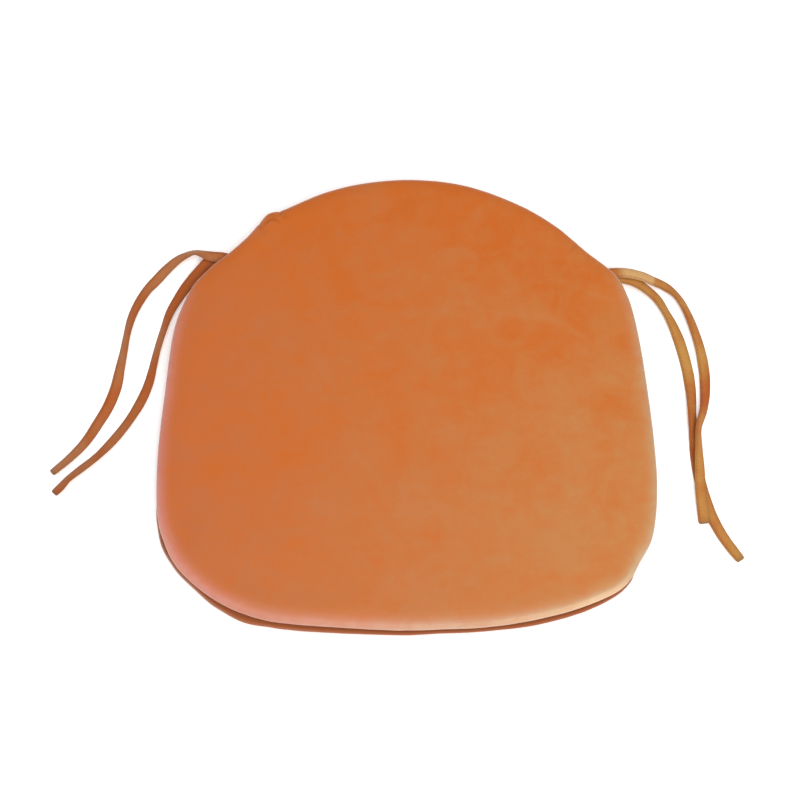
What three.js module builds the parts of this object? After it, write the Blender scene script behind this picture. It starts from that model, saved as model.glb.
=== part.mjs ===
// A D-shaped chair pad: a foam slab in a velvet cover that is seamed halfway up its side, with a
// pair of narrow ties sewn into the seam at each back corner.
// Millimetres, +Z up. The pad lies on its flat underside with its front edge towards -Y.

import * as THREE from 'three';

// Pad sizes
const CROWN_HEIGHT = 30;
const PAD_COLUMNS = 132;

// Tie sizes
const TIE_WIDTH = 10;
const TIE_THICKNESS = 2.2;
// The strap keeps most of its thickness out to its shoulders, as shares of its half width and height
const TIE_SHOULDER = { across: 0.72, up: 0.8 };
const TIE_STEPS_PER_ROW = 2;

// Velvet
const VELVET = { color: 0xc8703c, roughness: 0.85, metalness: 0 };
const TIE_VELVET = { color: 0xb8642c, roughness: 0.85, metalness: 0 };

// The pad's widest line seen from above, anticlockwise from the back, with the seam's height there
// and how far the cover below the seam stands out. The cover is puckered out at one end of the back
// arc and steps in a little at the other.
const OUTLINE = [
  { at: 'back middle', x: 6, y: 207, seam: 11, flare: 0 },
  { at: 'back left', x: -36, y: 203.5, seam: 11, flare: 0 },
  { at: 'back arc left', x: -72, y: 194, seam: 11, flare: 0 },
  { at: 'before the pucker', x: -107, y: 177.5, seam: 11, flare: 0 },
  { at: 'pucker, inner end', x: -115, y: 175.3, seam: 11, flare: 0 },
  { at: 'pucker, crest', x: -124.5, y: 172.5, seam: 11, flare: 0 },
  { at: 'pucker, outer end', x: -131, y: 162.5, seam: 11, flare: 0 },
  { at: 'left ties', x: -162, y: 133, seam: 11.5, flare: 0 },
  { at: 'beside the ties', x: -178.6, y: 113.4, seam: 11.5, flare: 0 },
  { at: 'left corner', x: -190, y: 101.5, seam: 11, flare: 0 },
  { at: 'left shoulder', x: -204.5, y: 68, seam: 11, flare: 0 },
  { at: 'left side', x: -211.5, y: 0, seam: 11, flare: 0 },
  { at: 'left bulge', x: -214.9, y: -60, seam: 11, flare: 0 },
  { at: 'left flank', x: -212.5, y: -111, seam: 12.5, flare: 1.4 },
  { at: 'front left turn', x: -197, y: -150, seam: 14.5, flare: 2.4 },
  { at: 'front left corner', x: -160, y: -183.5, seam: 15, flare: 2.6 },
  { at: 'front left', x: -112, y: -200, seam: 12.5, flare: 2 },
  { at: 'front middle', x: -10, y: -206.8, seam: 10, flare: 1 },
  { at: 'front right', x: 70, y: -204.5, seam: 11, flare: 0 },
  { at: 'front right corner', x: 148, y: -187.5, seam: 11.5, flare: 1.6 },
  { at: 'front right turn', x: 196, y: -150, seam: 11, flare: 3.2 },
  { at: 'right flank', x: 212, y: -112, seam: 11, flare: 0.6 },
  { at: 'right bulge', x: 215, y: -75, seam: 11, flare: 0 },
  { at: 'right side', x: 210, y: 18, seam: 11, flare: 0 },
  { at: 'right shoulder', x: 201, y: 75, seam: 11, flare: 0 },
  { at: 'right ties', x: 187, y: 113.5, seam: 11.5, flare: 0 },
  { at: 'step, outer end', x: 161, y: 135.5, seam: 11, flare: 0 },
  { at: 'step, inner end', x: 149, y: 147.5, seam: 11, flare: 0 },
  { at: 'back arc right', x: 101, y: 182, seam: 11, flare: 0 },
  { at: 'back right', x: 54, y: 200.5, seam: 11, flare: 0 },
];

// The side from the underside up and over the rolled edge: how far each line lies in from the
// widest one, its height, and its share of the seam's rise and of the flare below the seam.
const MEAN_SEAM_HEIGHT = 11;
const SIDE = [
  { at: 'foot', inset: 7, height: 0, rise: 0, flare: 1 },
  { at: 'heel', inset: 3.6, height: 0.7, rise: 0, flare: 1 },
  { at: 'lower roll', inset: 1.6, height: 2.6, rise: 0.1, flare: 1 },
  { at: 'lower bulge', inset: 0.8, height: 5.4, rise: 0.4, flare: 1 },
  { at: 'under the seam', inset: 1, height: 8.2, rise: 0.9, flare: 0.7 },
  { at: 'lower lip', inset: 1.4, height: 10, rise: 1, flare: 0.3 },
  { at: 'seam', inset: 2.3, height: MEAN_SEAM_HEIGHT, rise: 1, flare: 0 },
  { at: 'upper lip', inset: 1.2, height: 12, rise: 1, flare: 0 },
  { at: 'over the seam', inset: 0.4, height: 14.4, rise: 0.7, flare: 0 },
  { at: 'upper bulge', inset: 0, height: 18, rise: 0.3, flare: 0 },
  { at: 'roll, low', inset: 0.5, height: 21, rise: 0.1, flare: 0 },
  { at: 'roll, middle', inset: 2.2, height: 24, rise: 0, flare: 0 },
  { at: 'roll, high', inset: 5, height: 26.2, rise: 0, flare: 0 },
  { at: 'roll, top', inset: 8.8, height: 27.3, rise: 0, flare: 0 },
  { at: 'face edge', inset: 14, height: 28, rise: 0, flare: 0 },
];

// Rings of the crowned face, as shares of the way from its edge to the middle
const CROWN_RINGS = [0.12, 0.28, 0.46, 0.64, 0.82, 0.94];

// Each tie's middle line from the seam to its free end: its place, how far its lower edge is off
// the surface, and how far it is rolled over from lying flat, in degrees.
const TIES = {
  tie_left_upper: [
    { x: -167.3, y: 132, lift: 13.4, roll: -10 },
    { x: -173.5, y: 131.7, lift: 13, roll: -12 },
    { x: -179.2, y: 135, lift: 11.6, roll: 22 },
    { x: -185.3, y: 137.7, lift: 8.2, roll: 40 },
    { x: -190.7, y: 139.8, lift: 5.6, roll: 32 },
    { x: -198.9, y: 138.4, lift: 3.2, roll: 24 },
    { x: -208.3, y: 134.2, lift: 1.6, roll: 21 },
    { x: -218.1, y: 125.6, lift: 0.6, roll: 9 },
    { x: -226.2, y: 116.2, lift: 0.2, roll: 2 },
    { x: -234.5, y: 105.9, lift: 0.2, roll: 15 },
    { x: -242.6, y: 91.4, lift: 0.2, roll: 22 },
    { x: -247.6, y: 77.2, lift: 0.2, roll: 31 },
    { x: -250.7, y: 60.6, lift: 0.2, roll: 41 },
    { x: -253, y: 43.6, lift: 0.2, roll: 34 },
    { x: -255.7, y: 27.1, lift: 0.2, roll: 16 },
    { x: -258.5, y: 10.4, lift: 0.2, roll: -6 },
    { x: -264.5, y: -6.4, lift: 0.2, roll: -2 },
    { x: -273, y: -22.7, lift: 0.2, roll: 7 },
    { x: -283.4, y: -40.1, lift: 0.2, roll: 19 },
    { x: -296.8, y: -55.1, lift: 0.2, roll: 30 },
    { x: -308.8, y: -66.1, lift: 0.2, roll: 36 },
  ],
  tie_left_lower: [
    { x: -167.4, y: 128, lift: 9.2, roll: -6 },
    { x: -174.8, y: 131, lift: 8.4, roll: -8 },
    { x: -180.3, y: 129.8, lift: 7, roll: -10 },
    { x: -185.7, y: 124.1, lift: 5.6, roll: -10 },
    { x: -192, y: 117.2, lift: 4, roll: -8 },
    { x: -197, y: 111.4, lift: 2.4, roll: -2 },
    { x: -201.3, y: 105.7, lift: 1.2, roll: 6 },
    { x: -206, y: 98, lift: 0.5, roll: 16 },
    { x: -212.9, y: 83.7, lift: 0.2, roll: 28 },
    { x: -218.1, y: 66, lift: 0.2, roll: 41 },
    { x: -222.3, y: 49.1, lift: 0.2, roll: 42 },
    { x: -225.6, y: 32.1, lift: 0.2, roll: 37 },
    { x: -229.1, y: 15.5, lift: 0.2, roll: 23 },
    { x: -235.3, y: -1, lift: 0.2, roll: 16 },
    { x: -244.3, y: -17.9, lift: 0.2, roll: 24 },
    { x: -256.1, y: -34.8, lift: 0.2, roll: 23 },
    { x: -269.9, y: -50.6, lift: 0.2, roll: 34 },
    { x: -284.3, y: -63, lift: 0.2, roll: 34 },
    { x: -294.8, y: -72.1, lift: 0.2, roll: 39 },
    { x: -300.6, y: -78.9, lift: 0.2, roll: 31 },
    { x: -305.8, y: -84.5, lift: 0.2, roll: 33 },
  ],
  tie_right_front: [
    { x: 187.4, y: 117.4, lift: 12.8, roll: -6 },
    { x: 195.9, y: 117.5, lift: 12.4, roll: -8 },
    { x: 204.2, y: 116.8, lift: 11, roll: -9 },
    { x: 213.1, y: 115.4, lift: 8.6, roll: -10 },
    { x: 222.2, y: 112.6, lift: 5.2, roll: -13 },
    { x: 235, y: 107.5, lift: 1.8, roll: -19 },
    { x: 244.9, y: 98.2, lift: 0.6, roll: -35 },
    { x: 252.6, y: 83.5, lift: 0.2, roll: -34 },
    { x: 258.2, y: 66.5, lift: 0.2, roll: -26 },
    { x: 262.3, y: 49.5, lift: 0.2, roll: -19 },
    { x: 264.6, y: 33, lift: 0.2, roll: -7 },
    { x: 264.8, y: 14, lift: 0.4, roll: -13 },
    { x: 262.1, y: -7, lift: 0.6, roll: -38 },
    { x: 256.2, y: -25.1, lift: 1.8, roll: -50 },
    { x: 255.2, y: -42.7, lift: 2.8, roll: -42 },
    { x: 255, y: -58.7, lift: 2.8, roll: -26 },
    { x: 254.8, y: -76.5, lift: 2.8, roll: -10 },
    { x: 255.5, y: -94.2, lift: 2.8, roll: 4 },
    { x: 256.4, y: -111, lift: 1.2, roll: 22 },
  ],
  tie_right_inner: [
    { x: 189.3, y: 114.3, lift: 8.6, roll: -2 },
    { x: 200.2, y: 112.9, lift: 8, roll: -2 },
    { x: 207.4, y: 110.5, lift: 6.6, roll: -6 },
    { x: 215.2, y: 105.8, lift: 4.2, roll: -18 },
    { x: 225.7, y: 96.9, lift: 1.4, roll: -22 },
    { x: 233.4, y: 83.8, lift: 0.2, roll: -31 },
    { x: 239.8, y: 70.1, lift: 0.2, roll: -18 },
    { x: 244.5, y: 55.4, lift: 0.2, roll: 3 },
    { x: 248.3, y: 38.8, lift: 0.2, roll: 7 },
    { x: 251, y: 21.5, lift: 0.2, roll: 4 },
    { x: 252, y: 4.5, lift: 0.2, roll: -19 },
    { x: 251.6, y: -14, lift: 0.2, roll: -33 },
    { x: 252.7, y: -32.2, lift: 0.2, roll: -10 },
    { x: 253.1, y: -51.3, lift: 0.2, roll: 0 },
    { x: 254.9, y: -70.3, lift: 0.2, roll: 0 },
    { x: 258.7, y: -88.2, lift: 0.2, roll: 0 },
    { x: 263.5, y: -104.3, lift: 0.2, roll: 0 },
    { x: 270.3, y: -119.3, lift: 0.2, roll: -9 },
    { x: 278.3, y: -132.4, lift: 0.2, roll: -14 },
    { x: 285.9, y: -143.1, lift: 0.2, roll: -24 },
  ],
};

// A closed solid through rings of points, each with a fan to its own middle point at the ends.
// The rings turn anticlockwise as seen from the last one looking back.
function closedSkin(rings, firstMiddle, lastMiddle) {
  const count = rings[0].length;
  const points = [...rings.flat(), firstMiddle, lastMiddle];
  const first = points.length - 2;
  const last = points.length - 1;
  const topRing = (rings.length - 1) * count;
  const faces = [];
  for (let column = 0; column < count; column += 1) {
    const next = (column + 1) % count;
    faces.push(first, next, column);
    for (let ring = 0; ring < topRing; ring += count) {
      faces.push(ring + column, ring + next, ring + count + next);
      faces.push(ring + column, ring + count + next, ring + count + column);
    }
    faces.push(last, topRing + column, topRing + next);
  }
  const geometry = new THREE.BufferGeometry().setFromPoints(points);
  geometry.setIndex(faces);
  geometry.computeVertexNormals();
  return geometry;
}

function middleOf(ring) {
  const sum = ring.reduce((total, point) => total.add(point), new THREE.Vector3());
  return sum.divideScalar(ring.length);
}

// A column of the outline's table at a place on its curve, eased from row to row
function outlineValue(column, share) {
  const place = share * OUTLINE.length;
  const row = Math.floor(place) % OUTLINE.length;
  const next = (row + 1) % OUTLINE.length;
  const ease = THREE.MathUtils.smoothstep(place - Math.floor(place), 0, 1);
  return THREE.MathUtils.lerp(OUTLINE[row][column], OUTLINE[next][column], ease);
}

// Evenly spaced places along the outline, each with its outward direction, seam height and flare
function outlinePlaces() {
  const rows = OUTLINE.map(({ x, y }) => new THREE.Vector3(x, y, 0));
  const curve = new THREE.CatmullRomCurve3(rows, true, 'centripetal');
  curve.arcLengthDivisions = 10 * PAD_COLUMNS;
  const places = [];
  for (let column = 0; column < PAD_COLUMNS; column += 1) {
    const share = curve.getUtoTmapping(column / PAD_COLUMNS);
    const { x, y } = curve.getPoint(share);
    const along = curve.getTangent(share);
    const seam = outlineValue('seam', share);
    const flare = outlineValue('flare', share);
    places.push({ x, y, outX: along.y, outY: -along.x, seam, flare });
  }
  return places;
}

function makePad() {
  const places = outlinePlaces();
  const sideRings = SIDE.map((line) => places.map((place) => {
    const out = place.flare * line.flare - line.inset;
    const height = line.height + (place.seam - MEAN_SEAM_HEIGHT) * line.rise;
    return new THREE.Vector3(place.x + place.outX * out, place.y + place.outY * out, height);
  }));
  const faceEdge = sideRings[sideRings.length - 1];
  const faceHeight = SIDE[SIDE.length - 1].height;
  const crownRings = CROWN_RINGS.map((share) => faceEdge.map((point) => {
    const height = CROWN_HEIGHT - (CROWN_HEIGHT - faceHeight) * (1 - share) ** 2;
    return new THREE.Vector3(point.x * (1 - share), point.y * (1 - share), height);
  }));
  const underMiddle = new THREE.Vector3(0, 0, 0);
  const crownMiddle = new THREE.Vector3(0, 0, CROWN_HEIGHT);
  return closedSkin([...sideRings, ...crownRings], underMiddle, crownMiddle);
}

// The strap's section: a flat lens with blunt edges
function tieSection() {
  const edge = TIE_WIDTH / 2;
  const half = TIE_THICKNESS / 2;
  const across = TIE_SHOULDER.across * edge;
  const up = TIE_SHOULDER.up * half;
  const side = [[edge, 0], [across, up], [0, half], [-across, up]];
  return [...side, ...side.map(([x, y]) => [-x, -y])];
}

function makeTie(rows) {
  const section = tieSection();
  const steps = (rows.length - 1) * TIE_STEPS_PER_ROW;
  const route = new THREE.CatmullRomCurve3(rows.map(({ x, y, lift }) => new THREE.Vector3(x, y, lift)));
  const rolls = new THREE.CatmullRomCurve3(rows.map(({ roll }) => new THREE.Vector3(roll, 0, 0)));
  const middles = [];
  const turns = [];
  for (let step = 0; step <= steps; step += 1) {
    const turn = THREE.MathUtils.degToRad(rolls.getPoint(step / steps).x);
    const reach = section.map(([across, up]) => across * Math.sin(turn) + up * Math.cos(turn));
    const middle = route.getPoint(step / steps);
    middle.z += Math.max(...reach);
    middles.push(middle);
    turns.push(turn);
  }
  const rings = middles.map((middle, step) => {
    const before = middles[Math.max(step - 1, 0)];
    const after = middles[Math.min(step + 1, steps)];
    const along = after.clone().sub(before).normalize();
    const side = new THREE.Vector3(-along.y, along.x, 0).normalize();
    const face = along.clone().cross(side);
    side.applyAxisAngle(along, turns[step]);
    face.applyAxisAngle(along, turns[step]);
    return section.map(([across, up]) => middle.clone().addScaledVector(side, across).addScaledVector(face, up));
  });
  return closedSkin(rings, middleOf(rings[0]), middleOf(rings[steps]));
}

function addMesh(group, name, geometry, finish) {
  const mesh = new THREE.Mesh(geometry, new THREE.MeshStandardMaterial(finish));
  mesh.name = name;
  group.add(mesh);
}

const chairPad = new THREE.Group();
addMesh(chairPad, 'pad', makePad(), VELVET);
for (const [name, rows] of Object.entries(TIES)) {
  addMesh(chairPad, name, makeTie(rows), TIE_VELVET);
}

export default chairPad;
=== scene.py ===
"""A D-shaped velvet chair pad, seamed halfway up its rolled side, with a pair of narrow ties sewn
into the seam at each back corner. Metres, +Z up; the front edge is towards -Y.
"""

import math

import bpy
import numpy as np
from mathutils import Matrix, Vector, noise
from mathutils.bvhtree import BVHTree


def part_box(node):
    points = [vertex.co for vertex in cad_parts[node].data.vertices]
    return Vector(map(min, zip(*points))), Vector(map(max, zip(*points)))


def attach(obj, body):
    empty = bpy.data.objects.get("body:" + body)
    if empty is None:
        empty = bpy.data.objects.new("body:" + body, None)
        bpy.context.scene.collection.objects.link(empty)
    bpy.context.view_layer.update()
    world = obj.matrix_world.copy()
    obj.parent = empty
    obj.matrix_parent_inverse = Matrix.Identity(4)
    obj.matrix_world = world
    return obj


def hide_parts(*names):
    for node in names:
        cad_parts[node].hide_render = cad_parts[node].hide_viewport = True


bl_info = {
    "name": "Velvet Chair Pad",
    "version": (1, 0, 0),
    "blender": (4, 5, 0),
    "location": "3D View > Sidebar > Chair Pad",
    "description": "A D-shaped velvet chair pad with its seam and four narrow ties",
    "category": "Object",
}

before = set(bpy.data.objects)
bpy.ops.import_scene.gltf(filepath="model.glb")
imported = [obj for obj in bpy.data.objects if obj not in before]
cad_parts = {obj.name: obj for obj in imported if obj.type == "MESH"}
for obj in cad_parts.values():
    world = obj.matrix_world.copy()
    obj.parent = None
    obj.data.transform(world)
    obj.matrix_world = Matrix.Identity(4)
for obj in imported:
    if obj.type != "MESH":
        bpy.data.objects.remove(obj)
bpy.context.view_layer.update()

# The photograph's view: its angle above the floor, the lens, and the point it is aimed at
VIEW_ELEVATION = math.radians(72)
VIEW_LENS_MM = 70
VIEW_DISTANCE = 1.3786
VIEW_AIM = Vector((-0.0059, 0.0016, 0))

# Each tie's middle line from the seam to its free end: x, y, how far its lower edge is off the
# surface, and how far it is rolled over from lying flat, in degrees.
TIE_ROUTES = {
    "tie_left_upper": (
        (-0.1673, 0.1320, 0.0134, -10),
        (-0.1735, 0.1329, 0.0131, -4),
        (-0.1795, 0.1348, 0.0116, 12),
        (-0.1853, 0.1375, 0.0084, 31),
        (-0.1915, 0.1394, 0.0056, 42),
        (-0.1989, 0.1384, 0.0032, 35),
        (-0.2083, 0.1342, 0.0016, 21),
        (-0.2181, 0.1256, 0.0006, 9),
        (-0.2262, 0.1162, 0.0002, 2),
        (-0.2345, 0.1059, 0.0002, 15),
        (-0.2426, 0.0914, 0.0002, 22),
        (-0.2476, 0.0772, 0.0002, 31),
        (-0.2507, 0.0606, 0.0002, 41),
        (-0.2530, 0.0436, 0.0002, 34),
        (-0.2557, 0.0271, 0.0002, 16),
        (-0.2585, 0.0104, 0.0002, -6),
        (-0.2645, -0.0064, 0.0002, -2),
        (-0.2730, -0.0227, 0.0002, 7),
        (-0.2834, -0.0401, 0.0002, 19),
        (-0.2968, -0.0551, 0.0002, 30),
        (-0.3088, -0.0661, 0.0002, 36),
    ),
    "tie_left_lower": (
        (-0.1674, 0.1280, 0.0092, -6),
        (-0.1748, 0.1310, 0.0084, -8),
        (-0.1803, 0.1298, 0.0070, -10),
        (-0.1857, 0.1241, 0.0056, -10),
        (-0.1920, 0.1172, 0.0040, -8),
        (-0.1970, 0.1114, 0.0024, -2),
        (-0.2013, 0.1057, 0.0012, 6),
        (-0.2060, 0.0980, 0.0005, 16),
        (-0.2129, 0.0837, 0.0002, 28),
        (-0.2181, 0.0660, 0.0002, 41),
        (-0.2223, 0.0491, 0.0002, 42),
        (-0.2256, 0.0321, 0.0002, 37),
        (-0.2291, 0.0155, 0.0002, 23),
        (-0.2353, -0.0010, 0.0002, 16),
        (-0.2443, -0.0179, 0.0002, 24),
        (-0.2561, -0.0348, 0.0002, 23),
        (-0.2699, -0.0506, 0.0002, 34),
        (-0.2843, -0.0630, 0.0002, 34),
        (-0.2948, -0.0721, 0.0002, 39),
        (-0.3006, -0.0789, 0.0002, 31),
        (-0.3058, -0.0845, 0.0002, 33),
    ),
    "tie_right_front": (
        (0.1874, 0.1174, 0.0128, -6),
        (0.1959, 0.1175, 0.0124, -8),
        (0.2042, 0.1168, 0.0110, -9),
        (0.2131, 0.1154, 0.0086, -10),
        (0.2222, 0.1126, 0.0052, -13),
        (0.2350, 0.1075, 0.0018, -19),
        (0.2449, 0.0982, 0.0006, -35),
        (0.2526, 0.0835, 0.0002, -34),
        (0.2582, 0.0665, 0.0002, -26),
        (0.2623, 0.0495, 0.0002, -19),
        (0.2646, 0.0330, 0.0002, -7),
        (0.2648, 0.0140, 0.0004, -13),
        (0.2621, -0.0070, 0.0006, -38),
        (0.2562, -0.0251, 0.0018, -50),
        (0.2552, -0.0427, 0.0028, -42),
        (0.2550, -0.0587, 0.0028, -26),
        (0.2548, -0.0765, 0.0028, -10),
        (0.2555, -0.0942, 0.0028, 4),
        (0.2564, -0.1110, 0.0012, 22),
    ),
    "tie_right_inner": (
        (0.1893, 0.1143, 0.0086, -2),
        (0.2002, 0.1129, 0.0080, -2),
        (0.2074, 0.1105, 0.0066, -6),
        (0.2152, 0.1058, 0.0042, -18),
        (0.2257, 0.0969, 0.0014, -22),
        (0.2334, 0.0838, 0.0002, -31),
        (0.2398, 0.0701, 0.0002, -18),
        (0.2445, 0.0554, 0.0002, 3),
        (0.2483, 0.0388, 0.0002, 7),
        (0.2510, 0.0215, 0.0002, 4),
        (0.2520, 0.0045, 0.0002, -19),
        (0.2516, -0.0140, 0.0002, -33),
        (0.2527, -0.0322, 0.0002, -10),
        (0.2531, -0.0513, 0.0002, 0),
        (0.2549, -0.0703, 0.0002, 0),
        (0.2587, -0.0882, 0.0002, 0),
        (0.2635, -0.1043, 0.0002, 0),
        (0.2703, -0.1193, 0.0002, -9),
        (0.2783, -0.1324, 0.0002, -14),
        (0.2859, -0.1431, 0.0002, -24),
    ),
}

# How far each tie's nap lies over, from 0 to 1, at even steps from its root to its tip, and where
# along it a painted highlight starts and ends
TIE_NAPS = {
    "tie_left_upper": ((0.5, 0.9, 1.0, 0.8, 0.2, 0.7, 0.8, 0.1, 0.3, 0.9, 1.0), 0, 0),
    "tie_left_lower": ((0.4, 0.0, 0.0, 0.0, 0.8, 0.0, 0.0, 0.6, 0.5, 0.6, 0.3), 0, 0),
    "tie_right_front": ((0.3, 0.5, 0.5, 0.4, 0.8, 0.1, 0.1, 0.7, 0.6, 0.8), 0.009, 0.046),
    "tie_right_inner": ((0.9, 0.6, 0.7, 1.0, 0.6, 0.3, 0.0, 0.8, 0.6, 0.8), 0, 0),
}

# The pad's widest line seen from above, anticlockwise from the back: x, y, the seam's height
# there, and how far the cover below the seam stands out.
OUTLINE = (
    (0.0060, 0.2070, 0.0110, 0.0000),  # back middle
    (-0.0360, 0.2037, 0.0110, 0.0000),  # back left
    (-0.0722, 0.1944, 0.0110, 0.0000),  # back arc left
    (-0.1075, 0.1784, 0.0110, 0.0000),  # before the pucker
    (-0.1149, 0.1751, 0.0110, 0.0000),  # pucker inner end
    (-0.1256, 0.1727, 0.0110, 0.0000),  # pucker crest
    (-0.1337, 0.1631, 0.0110, 0.0000),  # pucker outer end
    (-0.1462, 0.1477, 0.0112, 0.0000),  # past the pucker
    (-0.1617, 0.1327, 0.0115, 0.0000),  # left ties
    (-0.1718, 0.1245, 0.0116, 0.0000),  # past the left ties
    (-0.1808, 0.1154, 0.0115, 0.0000),  # beside the ties
    (-0.1913, 0.1025, 0.0110, 0.0000),  # left corner
    (-0.2048, 0.0681, 0.0110, 0.0000),  # left shoulder
    (-0.2118, 0.0000, 0.0110, 0.0000),  # left side
    (-0.2153, -0.0600, 0.0110, 0.0000),  # left bulge
    (-0.2125, -0.1111, 0.0125, 0.0034),  # left flank
    (-0.2058, -0.1316, 0.0138, 0.0050),  # left flank, front
    (-0.1963, -0.1492, 0.0146, 0.0038),  # front left turn
    (-0.1795, -0.1669, 0.0152, 0.0034),  # front left turn, end
    (-0.1588, -0.1816, 0.0158, 0.0054),  # front left corner
    (-0.1366, -0.1919, 0.0154, 0.0067),  # front left bulge
    (-0.1118, -0.1988, 0.0142, 0.0044),  # front left
    (-0.0100, -0.2060, 0.0113, 0.0031),  # front middle
    (0.0300, -0.2053, 0.0108, 0.0023),  # front
    (0.0698, -0.2032, 0.0110, 0.0023),  # front right
    (0.1100, -0.1967, 0.0113, 0.0036),  # front right, outer
    (0.1475, -0.1866, 0.0115, 0.0034),  # front right corner
    (0.1782, -0.1728, 0.0122, 0.0022),  # front right bulge
    (0.1892, -0.1621, 0.0118, 0.0021),  # front right bulge, end
    (0.1961, -0.1501, 0.0112, 0.0006),  # front right turn
    (0.2072, -0.1311, 0.0110, 0.0000),  # front right turn, end
    (0.2120, -0.1120, 0.0110, 0.0000),  # right flank
    (0.2152, -0.0750, 0.0110, 0.0000),  # right bulge
    (0.2098, 0.0180, 0.0110, 0.0000),  # right side
    (0.2021, 0.0753, 0.0110, 0.0000),  # right shoulder
    (0.1960, 0.0967, 0.0112, 0.0000),  # right corner
    (0.1870, 0.1135, 0.0115, 0.0000),  # right ties
    (0.1616, 0.1361, 0.0110, 0.0000),  # step outer end
    (0.1494, 0.1479, 0.0110, 0.0000),  # step inner end
    (0.1345, 0.1610, 0.0110, 0.0000),  # past the step
    (0.1012, 0.1822, 0.0110, 0.0000),  # back arc right
    (0.0540, 0.2006, 0.0110, 0.0000),  # back right
)

# The side from the underside up and over the rolled edge: how far each line lies in from the
# widest one, its height, and its share of the seam's rise and of the flare below the seam.
SIDE = (
    (0.0070, 0.0000, 0.0, 1.0),  # foot
    (0.0036, 0.0007, 0.0, 1.0),  # heel
    (0.0016, 0.0026, 0.1, 1.0),  # lower roll
    (0.0008, 0.0054, 0.4, 1.0),  # lower bulge
    (0.0010, 0.0082, 0.9, 0.7),  # under the seam
    (0.0014, 0.0100, 1.0, 0.3),  # lower lip
    (0.0023, 0.0110, 1.0, 0.0),  # seam
    (0.0012, 0.0120, 1.0, 0.0),  # upper lip
    (0.0004, 0.0144, 0.7, 0.0),  # over the seam
    (0.0000, 0.0180, 0.3, 0.0),  # upper bulge
    (0.0005, 0.0210, 0.1, 0.0),  # roll, low
    (0.0022, 0.0240, 0.0, 0.0),  # roll, middle
    (0.0050, 0.0262, 0.0, 0.0),  # roll, high
    (0.0088, 0.0273, 0.0, 0.0),  # roll, top
    (0.0140, 0.0280, 0.0, 0.0),  # face edge
)
SEAM_LINE = 6
MEAN_SEAM_HEIGHT = 0.011
# Lines of the mesh between one line of the side and the next, closest together at the seam
SIDE_STEPS = (3, 3, 3, 3, 4, 6, 6, 4, 3, 3, 3, 3, 3, 4)
# What the side runs on from and into: the flat underside, and the crowned face
BEFORE_FOOT = (0.0120, 0.0000, 0.0, 1.0)
AFTER_FACE_EDGE = (0.0200, 0.02814, 0.0, 0.0)

# How far above and below the seam the painted shade along it reaches
SHADE_ABOVE = 0.0013
SHADE_BELOW = 0.0040
PUCKER_REACH = 0.006  # how far above and below the seam the ripples beside it fade out
LONG_SWELL_OUT = 0.0003  # the side's slow unevenness, outwards and upwards
LONG_SWELL_UP = 0.0005

# The mouth that a strap opens in the seam: its reach along it, its half height and its depth
MOUTH_REACH = 0.0075
MOUTH_HEIGHT = 0.0026
MOUTH_DEPTH = 0.0022

# How much painted highlight the roll has at each distance above the seam
ROLL_HIGHLIGHT = (
    (0, 0), (0.0012, 0.2), (0.0022, 1.0), (0.0155, 0.85), (0.0193, 0.4), (0.0234, 0.12),
    (0.0280, 0))
# Where the roll's painted highlight is strongest: towards the front right, and a little more on the
# left flank
LIT_FRONT = (0.47, -0.883)  # the way that the roll's brightest stretch faces, at the front right
LEFT_FLANK = (-0.90, -0.44)

PAD_COLUMNS = 528
FACE_RINGS = 56
UNDER_RINGS = 24
EASE_DIRECTIONS = 0.008  # how far along the outline the directions in from it are evened out
HALVE_BELOW = 0.6  # a ring smaller than this share of the one with all its columns has half of them

# How the cover is settled: its distance inside the skin, its spare cloth, how long it takes, how
# close to the seam's line and to the floor it is held, and how often its movement is evened out
COVER_INSET = 0.001
COVER_SPARE = 0.004
SETTLE_FRAMES = 20
SEWN_REACH = 0.012
RESTING_BELOW = 0.0025
EASE_SWELL = 24

# Folds that the pucker presses into the top of the roll: points, depth and half width
FOLDS = (
    (((-0.1290, 0.1590), (-0.1253, 0.1625), (-0.1214, 0.1645), (-0.1173, 0.1631),
      (-0.1150, 0.1610)), 0.0012, 0.0010),
    (((-0.1235, 0.1690), (-0.1205, 0.1672), (-0.1165, 0.1668)), 0.0008, 0.0009),
    (((-0.1160, 0.1760), (-0.1130, 0.1700), (-0.1070, 0.1650)), 0.0006, 0.0013),
    (((-0.1345, 0.1640), (-0.1315, 0.1565), (-0.1265, 0.1500)), 0.0006, 0.0012),
    (((0.1560, 0.1420), (0.1510, 0.1370), (0.1450, 0.1335)), 0.0004, 0.0015),
)
FOLD_STEPS = 41
FOLDS_ABOVE = 0.017  # the height from which the cover takes folds
# Low lumps of the filling: how many to the metre, how high, and where their pattern starts
LUMPS = ((17, 0.00035, (0, 0, 0)), (45, 0.00012, (5, 2, 9)))

# Darker colours of the velvet: between its hairs, shaded by their neighbours; painted shade in
# the seam, the pucker's folds and the straps' mouths; painted shade on a strap's edges, which
# turn away; and a strap's darker tip
BETWEEN_PILE = (0.30, 0.06, 0.008, 1)
CREASE_SHADE = (0.17, 0.042, 0.008, 1)
BETWEEN_TIE_PILE = (0.16, 0.04, 0.008, 1)
TIE_EDGE_SHADE = (0.13, 0.045, 0.012, 1)
TIE_TIP_SHADE = (0.16, 0.085, 0.05, 1)

FLOOR_HALF = 4.0
FLOOR_HEIGHT = -0.0001  # just under the pad's flat underside


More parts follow.
